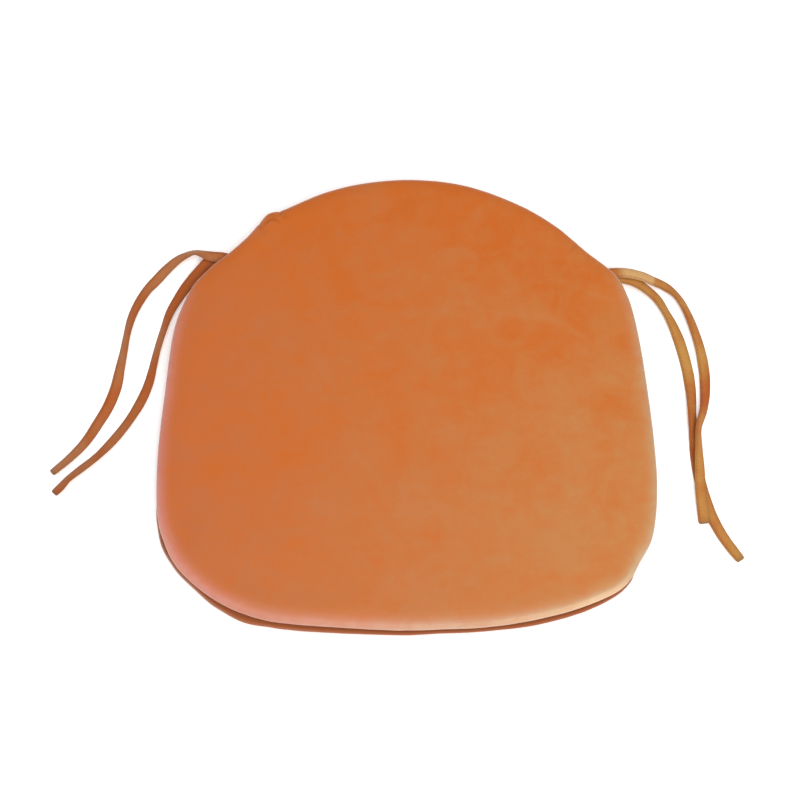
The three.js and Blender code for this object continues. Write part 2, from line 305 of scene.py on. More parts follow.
class PadSettings(bpy.types.PropertyGroup):
    """Sizes of the padded body"""

    crown_height: bpy.props.FloatProperty(
        name="Crown Height", description="Height of the middle of the face above the underside",
        default=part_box("pad")[1].z, min=0.01, unit="LENGTH")
    seam_depth: bpy.props.FloatProperty(
        name="Seam Depth", default=0.0016, min=0, unit="LENGTH",
        description="How far the seam is drawn in between the two lips of the cover")
    seam_width: bpy.props.FloatProperty(
        name="Seam Width", description="Half the width of the ditch along the seam",
        default=0.0006, min=0.0001, unit="LENGTH")
    pucker: bpy.props.FloatProperty(
        name="Pucker", default=0.00035, min=0, unit="LENGTH",
        description="Height of the small ripples that the stitching draws up beside the seam")
    swell_limit: bpy.props.FloatProperty(
        name="Swell Limit", description="The furthest that the filling may push the cover",
        default=0.003, min=0, unit="LENGTH")
    filling_pressure: bpy.props.FloatProperty(
        name="Filling Pressure", default=4.0, min=0,
        description="How hard the filling presses on the cover while it settles")
    cloth_voxel: bpy.props.FloatProperty(
        name="Cloth Grid", description="Spacing of the even mesh on which the cover is settled",
        default=0.005, min=0.002, unit="LENGTH")


class TieSettings(bpy.types.PropertyGroup):
    """Sizes of the straps and of their stitching"""

    width: bpy.props.FloatProperty(
        name="Width", description="Width of a strap laid flat",
        default=0.010, min=0.002, unit="LENGTH")
    thickness: bpy.props.FloatProperty(
        name="Thickness", description="Thickness of the folded strap",
        default=0.0022, min=0.0005, unit="LENGTH")
    stitch_pitch: bpy.props.FloatProperty(
        name="Stitch Pitch", description="Distance from one stitch to the next",
        default=0.003, min=0.001, unit="LENGTH")
    stitch_length: bpy.props.FloatProperty(
        name="Stitch Length", description="Length of thread that shows in one stitch",
        default=0.0024, min=0.0005, unit="LENGTH")
    thread_width: bpy.props.FloatProperty(
        name="Thread Width", description="Width of the sewing thread",
        default=0.00042, min=0.0001, unit="LENGTH")


class VelvetSettings(bpy.types.PropertyGroup):
    """Colours of the velvet"""

    deep: bpy.props.FloatVectorProperty(
        name="Deep Nap", description="Colour looking into the pile", subtype="COLOR", size=3,
        default=(0.535, 0.118, 0.009), min=0, max=1)
    # The brushed colours hold painted sheen as well as the nap's tone: pinker at the left, yellower
    # at the right
    brushed_sheen_left: bpy.props.FloatVectorProperty(
        name="Brushed Nap, Left", description="Colour where the pile lies over, at the left side",
        subtype="COLOR", size=3, default=(0.475, 0.122, 0.036), min=0, max=1)
    brushed_sheen_right: bpy.props.FloatVectorProperty(
        name="Brushed Nap, Right", description="Colour where the pile lies over, at the right side",
        subtype="COLOR", size=3, default=(0.500, 0.208, 0.058), min=0, max=1)
    # Painted highlight on the roll: its colours at the left, the right and the front right
    roll_highlight_left: bpy.props.FloatVectorProperty(
        name="Pale Roll, Left", subtype="COLOR", size=3, default=(0.80, 0.37, 0.39), min=0, max=1,
        description="Colour of the pile stretched over the roll, at the left side")
    roll_highlight_right: bpy.props.FloatVectorProperty(
        name="Pale Roll, Right", subtype="COLOR", size=3, default=(0.50, 0.52, 0.34), min=0, max=1,
        description="Colour of the pile stretched over the roll, at the right side")
    roll_highlight_front: bpy.props.FloatVectorProperty(
        name="Pale Roll, Front", subtype="COLOR", size=3, default=(0.93, 0.63, 0.39), min=0, max=1,
        description="Colour of the pile on the roll where it is stretched the most")
    # The lower panel's colour is painted shade, for the panel and the underside under the roll
    under: bpy.props.FloatVectorProperty(
        name="Lower Panel", description="Colour of the cover below the seam",
        subtype="COLOR", size=3, default=(0.36, 0.075, 0.008), min=0, max=1)
    tie_deep: bpy.props.FloatVectorProperty(
        name="Tie, Deep", description="Colour of the straps where their pile stands up",
        subtype="COLOR", size=3, default=(0.42, 0.095, 0.014), min=0, max=1)
    tie_tan: bpy.props.FloatVectorProperty(
        name="Tie, Tan", description="Colour of the left straps where their pile lies over",
        subtype="COLOR", size=3, default=(0.44, 0.160, 0.056), min=0, max=1)
    tie_gold: bpy.props.FloatVectorProperty(
        name="Tie, Gold", description="Colour of the right straps where their pile lies over",
        subtype="COLOR", size=3, default=(0.52, 0.26, 0.060), min=0, max=1)
    # Painted highlight where a strap's face catches the light
    tie_highlight: bpy.props.FloatVectorProperty(
        name="Tie, Bare", description="Colour of a strap where its pile is worn away",
        subtype="COLOR", size=3, default=(0.64, 0.375, 0.150), min=0, max=1)
    thread: bpy.props.FloatVectorProperty(
        name="Thread", description="Colour of the sewing thread",
        subtype="COLOR", size=3, default=(0.34, 0.10, 0.02), min=0, max=1)


class StageSettings(bpy.types.PropertyGroup):
    """Light of the studio"""

    top: bpy.props.FloatProperty(
        name="Top Light", description="Power of the wide light overhead",
        default=17.0, min=0, unit="POWER")
    key: bpy.props.FloatProperty(
        name="Key Light", description="Power of the soft light at the front right",
        default=40.0, min=0, unit="POWER")
    surround: bpy.props.FloatProperty(
        name="Surround", description="Strength of the light from all round", default=0.45, min=0)
    floor_glow: bpy.props.FloatProperty(
        name="Floor Glow", default=0.25, min=0,
        description="Strength of the light that comes up through the white floor")


class Wire:
    """A socket of a node graph that takes part in sums, each of which adds its Math node."""

    def __init__(self, graph, socket):
        self.graph = graph
        self.socket = socket

    def other(self, name):
        """Another output of the same node."""
        return Wire(self.graph, self.socket.node.outputs[name])

    def sum(self, operation, first, second):
        return self.graph.add("ShaderNodeMath", {"operation": operation}, {0: first, 1: second})

    def __add__(self, value):
        return self.sum("ADD", self, value)

    __radd__ = __add__

    def __sub__(self, value):
        return self.sum("SUBTRACT", self, value)

    def __rsub__(self, value):
        return self.sum("SUBTRACT", value, self)

    def __mul__(self, value):
        return self.sum("MULTIPLY", self, value)

    __rmul__ = __mul__

    def __truediv__(self, value):
        return self.sum("DIVIDE", self, value)

    def __pow__(self, value):
        return self.sum("POWER", self, value)


class Graph:
    """A node tree that is laid node by node."""

    def __init__(self, tree):
        self.tree = tree

    def add(self, kind, settings=None, sockets=None):
        """A new node with its settings made first, then the values or wires of its sockets."""
        node = self.tree.nodes.new(kind)
        for name, value in (settings or {}).items():
            if name == "stops":
                set_stops(node.color_ramp, value)
            else:
                setattr(node, name, value)
        for name, value in (sockets or {}).items():
            if isinstance(value, Wire):
                self.tree.links.new(value.socket, node.inputs[name])
            else:
                node.inputs[name].default_value = value
        return Wire(self, node.outputs[0]) if node.outputs else None

    def blend(self, share, first, second):
        """One colour turning into another."""
        mix = self.add("ShaderNodeMix", {"data_type": "RGBA"}, {0: share, 6: first, 7: second})
        return Wire(self, mix.socket.node.outputs[2])

    def ramp(self, value, *stops):
        """A value sent through grey stops."""
        return self.add("ShaderNodeValToRGB", {"stops": stops}, {"Fac": value})

    def clamp(self, value):
        """A value held between 0 and 1."""
        return self.add("ShaderNodeClamp", {}, {0: value})

    def marks(self, *names):
        """The values that a piece keeps at its points under these names."""
        return [self.add("ShaderNodeAttribute", {"attribute_name": name}).other("Fac")
                for name in names]

    def bump(self, strength, distance, relief):
        return self.add("ShaderNodeBump", {}, {
            "Strength": strength, "Distance": distance, "Height": relief})

    def surface(self, sockets):
        """The surface that ends a finish."""
        skin = self.add("ShaderNodeBsdfPrincipled", {}, sockets)
        self.add("ShaderNodeOutputMaterial", {}, {"Surface": skin})

    def spots(self, place, scale, detail=2.0, roughness=0.5, distortion=0.0):
        """Even noise of that many features to the metre."""
        return self.add("ShaderNodeTexNoise", {}, {
            "Vector": place, "Scale": scale, "Detail": detail, "Roughness": roughness,
            "Distortion": distortion})


def set_stops(ramp, stops):
    """Gives a colour ramp these (position, grey level) stops."""
    while len(ramp.elements) < len(stops):
        ramp.elements.new(1)
    for element, (position, level) in zip(ramp.elements, stops):
        element.position = position
        element.color = (level, level, level, 1)


def rgba(colour):
    return (*colour, 1)


def new_finish(name):
    """An empty material, the graph that its nodes are laid in, and the place on the piece."""
    finish = bpy.data.materials.new(name)
    finish.use_nodes = True
    finish.node_tree.nodes.clear()
    graph = Graph(finish.node_tree)
    return finish, graph, graph.add("ShaderNodeTexCoord").other("Object")


def velvet_finish(colours):
    """Short pile velvet: brushed patches, fine pile, the ground's weave, a sheen, and painted
    highlight and shade.
    """
    finish, graph, place = new_finish("velvet")
    split = graph.add("ShaderNodeSeparateXYZ", {}, {0: place})
    across, back = split, split.other("Y")
    patches = graph.spots(place, 11, 3, 0.55, 0.8)
    hands = graph.spots(place, 34, 3, 0.6, 1.2)
    streaks = graph.spots(graph.add("ShaderNodeMapping", {}, {
        "Vector": place, "Rotation": (0, 0, math.radians(24)), "Scale": (1, 4.5, 1)}), 30, 2, 0.5)
    strokes = graph.spots(place, 85, 2, 0.6, 0.6)
    pile = graph.spots(place, 900, 2, 0.6)
    # More brushed nap towards the front and a yellower tint towards the right: partly the nap's own
    # tone, partly painted sheen
    front = 0.5 - back * 1.7
    nap = graph.clamp(front + (patches - 0.5) * 1.2 + (hands - 0.5) * 1.1 + (streaks - 0.5) * 0.3
                      + (strokes - 0.5) * 0.45)
    right = graph.clamp(0.5 + across * 2.2)
    brushed = graph.blend(right, rgba(colours.brushed_sheen_left), rgba(colours.brushed_sheen_right))
    pale = graph.blend(right, rgba(colours.roll_highlight_left), rgba(colours.roll_highlight_right))
    colour = graph.blend(nap, rgba(colours.deep), brushed)
    # The seam mark carries painted shade, the lower mark painted shade and the roll mark painted
    # highlight
    ditch, lower, roll = graph.marks("seam", "lower", "roll")
    shade = graph.ramp(pile, (0.25, 0.80), (0.75, 1.0))
    colour = graph.blend(0.35, colour, graph.blend(shade, BETWEEN_PILE, colour))
    # Painted highlight on the roll, whitest at the front right
    pale = graph.blend(graph.clamp(roll * 2.2 - 1.1), pale, rgba(colours.roll_highlight_front))
    colour = graph.blend(roll * (0.8 + (hands - 0.5) * 0.8), colour, pale)
    # Painted shade on the lower panel, the underside and the roll's outer edge
    colour = graph.blend(lower * 0.85, colour, rgba(colours.under))
    # Painted shade in the seam, the straps' mouths and the pucker's folds
    colour = graph.blend(ditch * 0.92, colour, CREASE_SHADE)
    rough = 0.72 + (hands - 0.5) * 0.18
    weave, weft = (
        graph.add("ShaderNodeTexWave", {"bands_direction": way}, {
            "Vector": place, "Scale": 120, "Distortion": 1.2, "Detail": 1.0})
        for way in "XY")
    relief = pile * 0.6 + hands * 0.6 + (weave + weft) * 0.12
    graph.surface({
        "Base Color": colour, "Roughness": rough, "Normal": graph.bump(0.35, 0.0006, relief),
        "Specular IOR Level": 0.25, "Sheen Weight": 0.4, "Sheen Roughness": 0.4,
        "Sheen Tint": (1.0, 0.90, 0.82, 1)})
    return finish


def tie_finish(colours):
    """The same velvet as a strap, paler where its nap lies over and darker towards its edges."""
    finish, graph, place = new_finish("tie_velvet")
    patches = graph.spots(place, 40, 3, 0.6, 0.6)
    pile = graph.spots(place, 1100, 2, 0.6)
    edge, tip, laid, bare = graph.marks("edge", "tip", "laid", "bare")
    right = graph.clamp(graph.add("ShaderNodeSeparateXYZ", {}, {0: place}) * 50)
    nap = graph.clamp(laid + (patches - 0.5) * 1.7)
    over = graph.blend(right, rgba(colours.tie_tan), rgba(colours.tie_gold))
    colour = graph.blend(nap, rgba(colours.tie_deep), over)
    # Painted highlight along a stretch of the strap
    colour = graph.blend(bare * (0.95 + (patches - 0.5) * 0.5), colour, rgba(colours.tie_highlight))
    colour = graph.blend(edge * 0.36, colour, TIE_EDGE_SHADE)
    colour = graph.blend(tip * 0.6, colour, TIE_TIP_SHADE)
    colour = graph.blend(graph.ramp(pile, (0.3, 0.25), (0.6, 0.0)), colour, BETWEEN_TIE_PILE)
    rough = 0.74 + (patches - 0.5) * 0.2
    relief = pile * 0.7 + patches * 0.4
    graph.surface({
        "Base Color": colour, "Roughness": rough, "Normal": graph.bump(0.4, 0.0005, relief),
        "Specular IOR Level": 0.25, "Sheen Weight": 0.35, "Sheen Roughness": 0.4,
        "Sheen Tint": (1.0, 0.85, 0.7, 1)})
    return finish


def thread_finish(colours):
    """Spun sewing thread."""
    finish, graph, place = new_finish("thread")
    ply = graph.spots(place, 2600, 1, 0.5)
    dark = tuple(c * 0.6 for c in colours.thread)
    colour = graph.blend(ply, rgba(dark), rgba(colours.thread))
    graph.surface({
        "Base Color": colour, "Roughness": 0.6 + (ply - 0.5) * 0.2,
        "Normal": graph.bump(0.4, 0.0001, ply)})
    return finish


def floor_finish(glow):
    """Matt white studio floor, lit a little from beneath."""
    finish, graph, place = new_finish("studio_floor")
    grain = graph.spots(place, 3, 2, 0.5)
    graph.surface({
        "Base Color": graph.blend(grain, (0.90, 0.90, 0.90, 1), (0.93, 0.93, 0.93, 1)),
        "Roughness": 0.95, "Specular IOR Level": 0.1,
        "Emission Color": (1, 1, 1, 1), "Emission Strength": glow})
    return finish


def bare_mesh(name, points, faces=()):
    mesh = bpy.data.meshes.new(name)
    mesh.from_pydata([tuple(p) for p in points], [], faces)
    return mesh


def put_in_scene(name, data):
    """A new object that shows this mesh, lamp or lens."""
    thing = bpy.data.objects.new(name, data)
    bpy.context.scene.collection.objects.link(thing)
    return thing


def new_piece(name, points, faces, finish):
    """A smooth mesh object at the origin, with its place in its mesh."""
    mesh = bare_mesh(name, points, faces)
    mesh.validate()
    mesh.update()
    mesh.shade_smooth()
    if finish:
        mesh.materials.append(finish)
    return put_in_scene(name, mesh)


def set_values(piece, name, values):
    """Keeps one number for each point of a piece, for its finish to read."""
    attribute = piece.data.attributes.new(name, "FLOAT", "POINT")
    attribute.data.foreach_set("value", np.asarray(values, np.float32))


def unit(vectors):
    return vectors / np.maximum(np.linalg.norm(vectors, axis=-1, keepdims=True), 1e-12)


def run_along(line):
    """The length of a line of points up to each of them."""
    return np.concatenate([[0], np.cumsum(np.linalg.norm(np.diff(line, axis=0), axis=1))])


def climb(values, start, end):
    """How far each value has come from the start to the end, from 0 to 1."""
    return np.clip((values - start) / (end - start), 0, 1)


def bell(away, reach):
    """A share that falls from 1 to nearly nothing with the distance, over twice the reach."""
    return np.exp(-(away / reach) ** 2)


def smooth_through(rows, shares, closed=False):
    """Points at shares of the way along the centripetal curve through these rows."""
    rows = np.asarray(rows, float)
    if closed:
        spans = len(rows)
        around = np.vstack([rows[-1:], rows, rows[:2]])
        way = np.asarray(shares, float) % 1 * spans
    else:
        spans = len(rows) - 1
        around = np.vstack([2 * rows[0] - rows[1], rows, 2 * rows[-1] - rows[-2]])
        way = np.clip(shares, 0, 1) * spans
    span = np.minimum(way.astype(int), spans - 1)
    t = (way - span)[:, None]
    p0, p1, p2, p3 = (around[span + k] for k in range(4))
    d0, d1, d2 = (
        np.sqrt(np.linalg.norm(b - a, axis=1, keepdims=True))
        for a, b in ((p0, p1), (p1, p2), (p2, p3)))
    d1 = np.where(d1 < 1e-4, 1, d1)
    d0 = np.where(d0 < 1e-4, d1, d0)
    d2 = np.where(d2 < 1e-4, d1, d2)
    leave = ((p1 - p0) / d0 - (p2 - p0) / (d0 + d1) + (p2 - p1) / d1) * d1
    reach = ((p2 - p1) / d1 - (p3 - p1) / (d1 + d2) + (p3 - p2) / d2) * d1
    return (p1 + leave * t + (3 * (p2 - p1) - 2 * leave - reach) * t**2
            + (2 * (p1 - p2) + leave + reach) * t**3)


def bridge(first, second):
    """Faces between two rings of point numbers, of which one may have twice as many."""
    a, b = len(first), len(second)
    faces = []
    for k in range(min(a, b)):
        if a == b:
            n = (k + 1) % a
            faces.append((first[k], first[n], second[n], second[k]))
        elif a == 2 * b:
            far, n = (2 * k + 2) % a, (k + 1) % b
            faces.append((first[2 * k], first[2 * k + 1], second[k]))
            faces.append((first[2 * k + 1], second[n], second[k]))
            faces.append((first[2 * k + 1], first[far], second[n]))
        elif b == 2 * a:
            far, n = (2 * k + 2) % b, (k + 1) % a
            faces.append((first[k], second[2 * k + 1], second[2 * k]))
            faces.append((first[k], first[n], second[2 * k + 1]))
            faces.append((first[n], second[far], second[2 * k + 1]))
        else:
            raise ValueError(f"rings of {a} and {b} points don't meet")
    return faces


def closed_skin(rings, first_middle, last_middle):
    """Points and faces of a closed surface through rings, with a fan at each end."""
    points = np.vstack([*rings, first_middle, last_middle])
    starts = np.cumsum([0] + [len(r) for r in rings])
    numbers = [list(range(start, start + len(ring))) for start, ring in zip(starts, rings)]
    first, last = len(points) - 2, len(points) - 1
    faces = [(first, b, a) for a, b in zip(numbers[0], numbers[0][1:] + numbers[0][:1])]
    for lower, upper in zip(numbers, numbers[1:]):
        faces += bridge(lower, upper)
    faces += [(last, a, b) for a, b in zip(numbers[-1], numbers[-1][1:] + numbers[-1][:1])]
    return points, faces


def spread_around(values, reach):
    """Values around the outline, each averaged with its neighbours over a reach in columns."""
    count = len(values)
    away = np.minimum(np.arange(count), count - np.arange(count))
    weights = np.exp(-0.5 * (away / reach) ** 2)
    share = np.fft.rfft(weights / weights.sum())[:, None]
    return np.fft.irfft(np.fft.rfft(values, axis=0) * share, count, axis=0)


def outline_places(columns):
    """Evenly spaced places on the outline: points, outward directions, seam heights and flares."""
    rows = np.array(OUTLINE)
    fine = np.linspace(0, 1, 6001)
    line = smooth_through(rows[:, :2], fine, closed=True)
    run = run_along(line)
    shares = np.interp(np.arange(columns) / columns * run[-1], run, fine)
    points = smooth_through(rows[:, :2], shares, closed=True)
    along = unit(smooth_through(rows[:, :2], shares + 1e-4, closed=True)
                 - smooth_through(rows[:, :2], shares - 1e-4, closed=True))
    across = np.stack([along[:, 1], -along[:, 0]], axis=1)
    out = unit(spread_around(across, EASE_DIRECTIONS / run[-1] * columns))
    way = shares * len(rows)
    row = way.astype(int) % len(rows)
    part = way - np.floor(way)
    ease = part * part * (3 - 2 * part)
    seam, flare = (
        rows[row, k] * (1 - ease) + rows[(row + 1) % len(rows), k] * ease for k in (2, 3))
    return points, out, seam, flare


def side_lines():
    """The fine lines of the side: inset, height, rise, flare, and the distance from the seam."""
    rows = np.array((BEFORE_FOOT, *SIDE, AFTER_FACE_EDGE))
    levels = np.concatenate([
        row + 1 + np.arange(steps) / steps for row, steps in enumerate(SIDE_STEPS)] + [[len(SIDE)]])
    shape = smooth_through(rows[:, :2], levels / (len(rows) - 1))
    rise, flare = (np.interp(levels, np.arange(len(rows)), rows[:, k]) for k in (2, 3))
    run = run_along(shape)
    run -= run[sum(SIDE_STEPS[:SEAM_LINE])]
    return shape[:, 0], shape[:, 1], rise, flare, run


def tie_mouths(points):
    """How far the straps sewn into the seam open it, from 0 to 1, at each place on the outline."""
    gape = np.zeros(len(points))
    for route in TIE_ROUTES.values():
        away = np.linalg.norm(points - np.array(route[0][:2]), axis=1)
        gape = np.maximum(gape, bell(away, MOUTH_REACH))
    return gape


def roll_highlight_shares(out):
    """How much painted highlight the roll has at each place on it, and how much more at the front
    right. At the back it has none.
    """
    facing = np.clip(out @ LIT_FRONT, 0, 1)
    flank = np.clip(out @ LEFT_FLANK, 0, 1)
    return (0.42 + 0.28 * flank**6) * climb(out[:, 1], 0.75, 0.15), 0.62 * facing**7


def rim_shade_shares(out, run):
    """How much painted shade darkens the roll's outer edge at this distance above the seam, except
    in front.
    """
    reach = 0.0085 + 0.0045 * np.clip(out[:, 1], 0, 1)
    return 0.8 * climb(out[:, 1], -0.35, 0.15) * climb(run, reach + 0.0015, reach - 0.0015)


def ripple(points, per_metre, seed):
    """Smooth unevenness around the outline, from -1 to 1."""
    return np.array([noise.noise(Vector((x * per_metre, y * per_metre, seed))) for x, y in points])


def halved(columns, size):
    """The step between the columns that a ring of this relative size keeps."""
    step = 1
    while size * step < HALVE_BELOW and columns % (step * 2) == 0:
        step *= 2
    return step


def pad_skin(sizes):
    """The padded body's points and faces, the number of each point's ring, and the values that its
    finish reads.
    """
    points, out, seam, flare = outline_places(PAD_COLUMNS)
    inset, height, rise, wide, run = side_lines()
    gape = tie_mouths(points)
    above, below = ripple(points, 95, 3.7), ripple(points, 95, 8.1)
    slow = ripple(points, 30, 12.3)
    # The roll's painted highlight around the outline, and by height above the seam
    highlit, facing = roll_highlight_shares(out)
    over = np.interp(run, *zip(*ROLL_HIGHLIGHT))
    rings, crease_shades, highlights, lower_shades = [], [], [], []
    for k in range(len(run)):
        ditch = bell(run[k], sizes.seam_width)
        mouth = gape * bell(run[k], MOUTH_HEIGHT)
        drawn = sizes.seam_depth * ditch + MOUTH_DEPTH * mouth
        ripples = above if run[k] > 0 else below
        pull = ripples * sizes.pucker * np.exp(-abs(run[k]) / PUCKER_REACH) * (1 - ditch)
        away = flare * wide[k] - inset[k] - drawn + pull + slow * LONG_SWELL_OUT * rise[k]
        z = height[k] + (seam - MEAN_SEAM_HEIGHT + slow * LONG_SWELL_UP) * rise[k]
        rings.append(np.column_stack([points + out * away[:, None], z]))
        # Painted shade along the seam and in the mouths that the straps open
        shade = SHADE_ABOVE if run[k] > 0 else SHADE_BELOW
        crease_shades.append(np.maximum(bell(run[k], shade), mouth))
        # Painted highlight on the roll
        highlights.append(highlit * over[k] + facing * over[k] ** (1.2 + 2.8 * facing))
        # Painted shade below the seam and on the roll's outer edge
        lower_shades.append(rim_shade_shares(out, run[k]) if run[k] > 0 else np.ones(len(out)))
    foot, edge = rings[0], rings[-1]
    under = []
    for k in range(1, UNDER_RINGS):
        size = k / UNDER_RINGS
        under.append(foot[::halved(PAD_COLUMNS, size)] * (size, size, 1))
    face = []
    for k in range(1, FACE_RINGS):
        size = 1 - k / FACE_RINGS
        ring = edge[::halved(PAD_COLUMNS, size)] * (size, size, 1)
        ring[:, 2] = sizes.crown_height - (sizes.crown_height - SIDE[-1][1]) * size**2
        face.append(ring)
    every = under + rings + face
    skin, faces = closed_skin(every, np.zeros(3), np.array((0, 0, sizes.crown_height)))
    below_side, above_side = sum(map(len, under)), sum(map(len, face))
    # The underside takes the lower panel's painted shade; the face takes none of the painted marks
    crease_shades, highlights, lower_shades = (
        np.concatenate([np.full(below_side, low), *values, np.zeros(above_side), [low, 0]])
        for values, low in ((crease_shades, 0), (highlights, 0), (lower_shades, 1)))
    lines = np.repeat(np.arange(len(every)), [len(r) for r in every])
    lines = np.append(lines, (0, len(every) - 1))
    return skin, faces, lines, {"seam": crease_shades, "roll": highlights, "lower": lower_shades}


def vectors_of(items, name):
    """The vector of that name of each of a mesh's points, as rows."""
    values = np.zeros(len(items) * 3, np.float32)
    items.foreach_get(name, values)
    return values.reshape(-1, 3).astype(float)


def point_normals(points, faces):
    mesh = bare_mesh("measure", points, faces)
    mesh.update()
    normals = vectors_of(mesh.vertex_normals, "vector")
    bpy.data.meshes.remove(mesh)
    return normals


def evaluated(thing):
    """The object as its modifiers leave it."""
    return thing.evaluated_get(bpy.context.evaluated_depsgraph_get())


def settle_cover(points, faces, sizes):
    """How far each point moves when the filling presses on the cover, which is held at its seam and
    its underside.
    """
    scene, layer = bpy.context.scene, bpy.context.view_layer
    inside = points - point_normals(points, faces) * COVER_INSET
    cloth = new_piece("cover_at_rest", inside, faces, None)
    grid = cloth.modifiers.new("grid", "REMESH")
    grid.mode = "VOXEL"
    grid.voxel_size = sizes.cloth_voxel
    layer.update()
    even = bpy.data.meshes.new_from_object(evaluated(cloth))
    cloth.modifiers.clear()
    cloth.data = even
    rest = vectors_of(even.vertices, "co")
    seam_points, _, seam_heights, _ = outline_places(PAD_COLUMNS)
    nearest = [int(np.argmin(((seam_points - p[:2]) ** 2).sum(1))) for p in rest]
    off_edge = np.linalg.norm(rest[:, :2] - seam_points[nearest], axis=1)
    off_seam = np.abs(rest[:, 2] - seam_heights[nearest])
    sewn = (off_edge < SEWN_REACH) & (off_seam < sizes.cloth_voxel * 0.7)
    held = cloth.vertex_groups.new(name="held")
    held.add([int(i) for i in np.flatnonzero(sewn | (rest[:, 2] < RESTING_BELOW))], 1.0, "REPLACE")
    cover = cloth.modifiers.new("cover", "CLOTH")
    cover.settings.vertex_group_mass = held.name
    cover.settings.use_pressure = True
    cover.settings.uniform_pressure_force = sizes.filling_pressure
    cover.settings.shrink_min = -COVER_SPARE
    cover.settings.effector_weights.gravity = 0
    cover.collision_settings.use_collision = False
    cover.point_cache.frame_start, cover.point_cache.frame_end = 1, SETTLE_FRAMES
    for moment in range(1, SETTLE_FRAMES + 1):
        scene.frame_set(moment)
    moved = vectors_of(evaluated(cloth).data.vertices, "co") - rest
    scene.frame_set(1)
    ends = np.zeros(len(even.edges) * 2, np.int32)
    even.edges.foreach_get("vertices", ends)
    ends = ends.reshape(-1, 2)
    around = np.maximum(np.bincount(ends.ravel(), minlength=len(rest)), 1)[:, None]
    for _ in range(EASE_SWELL):
        near = np.zeros_like(moved)
        np.add.at(near, ends[:, 0], moved[ends[:, 1]])
        np.add.at(near, ends[:, 1], moved[ends[:, 0]])
        moved = (moved + near / around) / 2
    far = np.maximum(np.linalg.norm(moved, axis=1), 1e-9)
    moved *= (np.tanh(far / sizes.swell_limit) * sizes.swell_limit / far)[:, None]
    even.calc_loop_triangles()
    corners = [tuple(t.vertices) for t in even.loop_triangles]
    tree = BVHTree.FromPolygons([Vector(p) for p in rest], corners)
    shift = np.zeros_like(points)
    for k, point in enumerate(points):
        spot, _, index, _ = tree.find_nearest(Vector(point))
        a, b, c = corners[index]
        edge_b, edge_c, to = rest[b] - rest[a], rest[c] - rest[a], np.array(spot) - rest[a]
        bb, bc, cc = edge_b @ edge_b, edge_b @ edge_c, edge_c @ edge_c
        tb, tc = to @ edge_b, to @ edge_c
        size = max(bb * cc - bc * bc, 1e-18)
        v, w = (cc * tb - bc * tc) / size, (bb * tc - bc * tb) / size
        shift[k] = moved[a] * (1 - v - w) + moved[b] * v + moved[c] * w
    bpy.data.objects.remove(cloth)
    bpy.data.meshes.remove(even)
    return shift


def fold_depths(points):
    """How deep the pucker's folds lie at each point of the top."""
    depths = np.zeros(len(points))
    top = points[:, 2] > FOLDS_ABOVE
    for line, depth, width in FOLDS:
        line = smooth_through(line, np.linspace(0, 1, FOLD_STEPS))
        share = np.sin(np.linspace(0.12, 0.96, FOLD_STEPS) * math.pi)
        near = np.linalg.norm(points[top][:, None, :2] - line[None], axis=2)
        index = near.argmin(axis=1)
        away = near[np.arange(len(near)), index]
        cut = bell(away, width) - 0.35 * bell(away - 2.2 * width, width)
        depths[top] += depth * cut * share[index]
    return depths


def make_pad(sizes, finish):
    points, faces, lines, marks = pad_skin(sizes)
    normals = point_normals(points, faces)
    shift = settle_cover(points, faces, sizes)
    swell = (shift * normals).sum(1)
    mean = np.array([swell[lines == k].mean() for k in range(lines.max() + 1)])
    swell -= mean[lines]
    free = climb(points[:, 2], 0.013, 0.019) * (1 - marks["seam"])
    points = points + normals * (swell * free)[:, None]
    lumps = np.array([
        sum(noise.noise(Vector(p) * many + Vector(start)) * high for many, high, start in LUMPS)
        for p in points])
    top = climb(points[:, 2], 0.014, 0.022)
    folds = fold_depths(points) * top
    points = points + normals * (lumps * top - folds)[:, None]
    # Painted shade in the pucker's folds
    marks["seam"] = np.maximum(marks["seam"], np.clip(folds / 0.002, 0, 0.48))
    points[:, 2] = np.maximum(points[:, 2], 0)
    pad = new_piece("velvet_pad", points, faces, finish)
    for name, values in marks.items():
        set_values(pad, name, values)
    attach(pad, "root")
    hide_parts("pad")


# A strap's section: how far out each point lies, as a share of the half width
SECTION_ACROSS = tuple(math.cos(math.pi * k / 14) for k in range(15))
STITCH_LINE = -0.66
STEPS_PER_ROW = 9
CRIMP = 0.00007  # how far each stitch draws the strap in and out

# A strap's rounded tip: how far past its last middle point, and its width and thickness there
ROUNDED_TIP = (
    (-0.00165, 1.000, 1.00),
    (-0.00072, 0.959, 1.00),
    (-0.00009, 0.871, 0.97),
    (0.00029, 0.767, 0.88),
    (0.00048, 0.666, 0.70),
    (0.00055, 0.590, 0.45),
)
TIP_ROUNDING = 0.0019  # how far before its last middle point a strap's even width ends
TIP_SHADE_REACH = 0.0022
TUCK = 0.007  # how far a strap runs on inside the seam
UNSEWN = 0.002  # how far from the seam and from its tip a strap's stitching stops
SEWN_HEIGHT = MEAN_SEAM_HEIGHT - 0.0005  # the height that it comes halfway to there
# The lengths over which a strap's painted highlight starts and ends
HIGHLIGHT_FADES_IN = 0.008
HIGHLIGHT_FADES_OUT = 0.002


def strap_height(across, half):
    """Half the strap's thickness at a share of its half width, thinner along the stitching."""
    full = half * np.sqrt(np.maximum(1 - np.abs(across) ** 2.8, 0))
    pressed = 0.30 * bell(across - STITCH_LINE, 0.13)
    return full * (1 - pressed - 0.06 * (across < STITCH_LINE))


